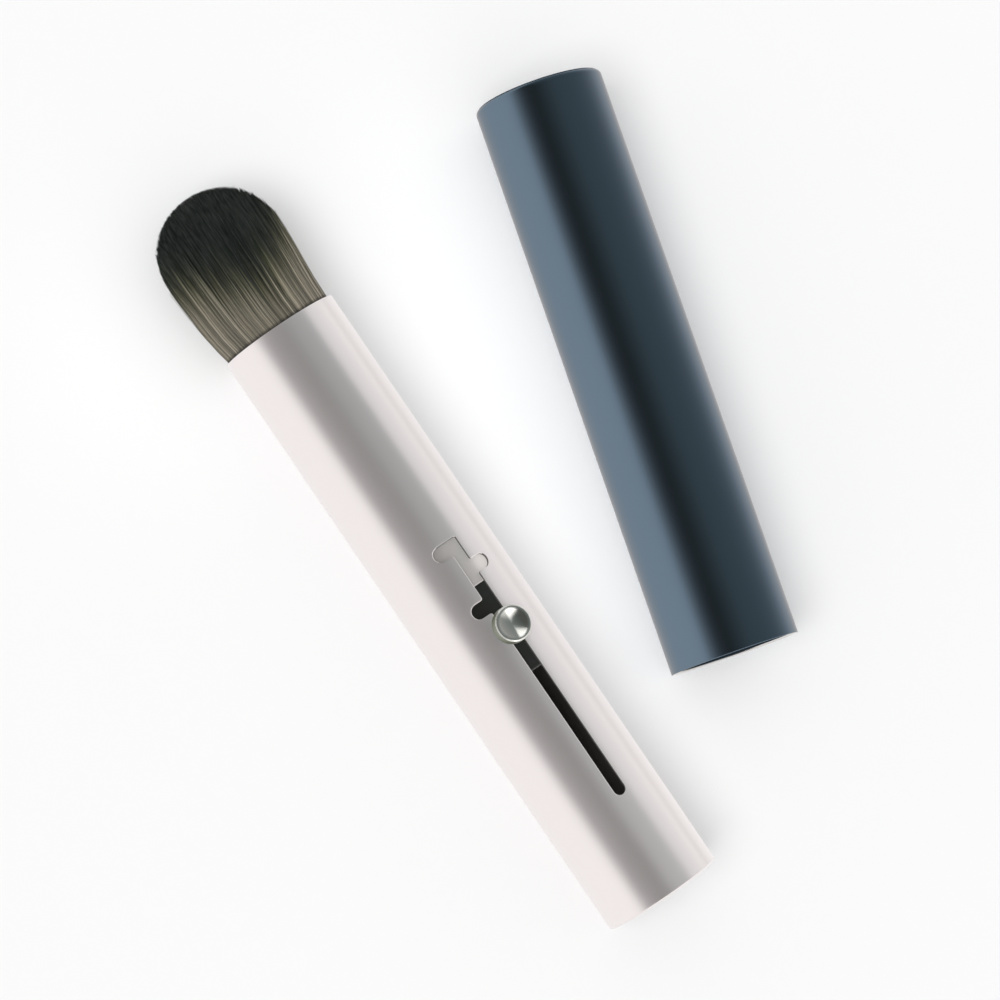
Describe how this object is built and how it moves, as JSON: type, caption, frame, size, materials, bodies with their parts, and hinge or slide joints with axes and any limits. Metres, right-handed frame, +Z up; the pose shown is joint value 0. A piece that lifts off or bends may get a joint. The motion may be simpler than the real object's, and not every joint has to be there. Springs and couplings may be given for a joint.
{
  "type": "retractable makeup brush",
  "caption": "Makeup brush with a domed tuft that slides in and out of a tube handle by a knob in a gate slot, its loose cap beside it.",
  "frame": {"origin": "on the surface that the brush and its cap lie on, below the middle of the box round both", "axes": "+Y along the handle, from its base to the tuft; +Z up from the surface; the cap lies on the +X side"},
  "size_m": [0.0784, 0.1336, 0.0227],
  "materials": {
    "pearl_aluminium": "satin pearl anodised, slightly warm silver",
    "turned_aluminium": "fine turned",
    "clear_aluminium": "clear anodised, fine satin",
    "black_plastic": "moulded, satin",
    "black_rubber": "moulded nitrile rubber",
    "turned_brass": "turned",
    "turned_steel": "polished side, finely turned top",
    "bristle": "fine synthetic fibre, dark tips and paler base",
    "cast_resin": "cast clear amber",
    "navy_aluminium": "satin dark navy anodised",
    "grey_plastic": "moulded, matt"
  },
  "bodies": {
    "handle": {"barrel": "pearl_aluminium", "base_plug": "turned_aluminium"},
    "carriage": {"ferrule": "clear_aluminium", "slider_core": "black_plastic", "front_damping_ring": "black_rubber", "rear_damping_ring": "black_rubber", "thread_insert": "turned_brass", "knob": "turned_steel", "tuft": "bristle", "tuft_resin": "cast_resin"},
    "cap": {"cap_shell": "navy_aluminium", "cap_stop_ring": "grey_plastic"}
  },
  "joints": [
    {"name": "brush_slide", "type": "slide", "parent": "handle", "child": "carriage", "axis": [0, 1, 0], "range_m": [-0.0306, 0.0151], "deforming": ["tuft"]},
    {"name": "cap_lift", "type": "slide", "parent": "handle", "child": "cap", "axis": [0, 0, 1], "range_m": [0, 0.06]}
  ]
}
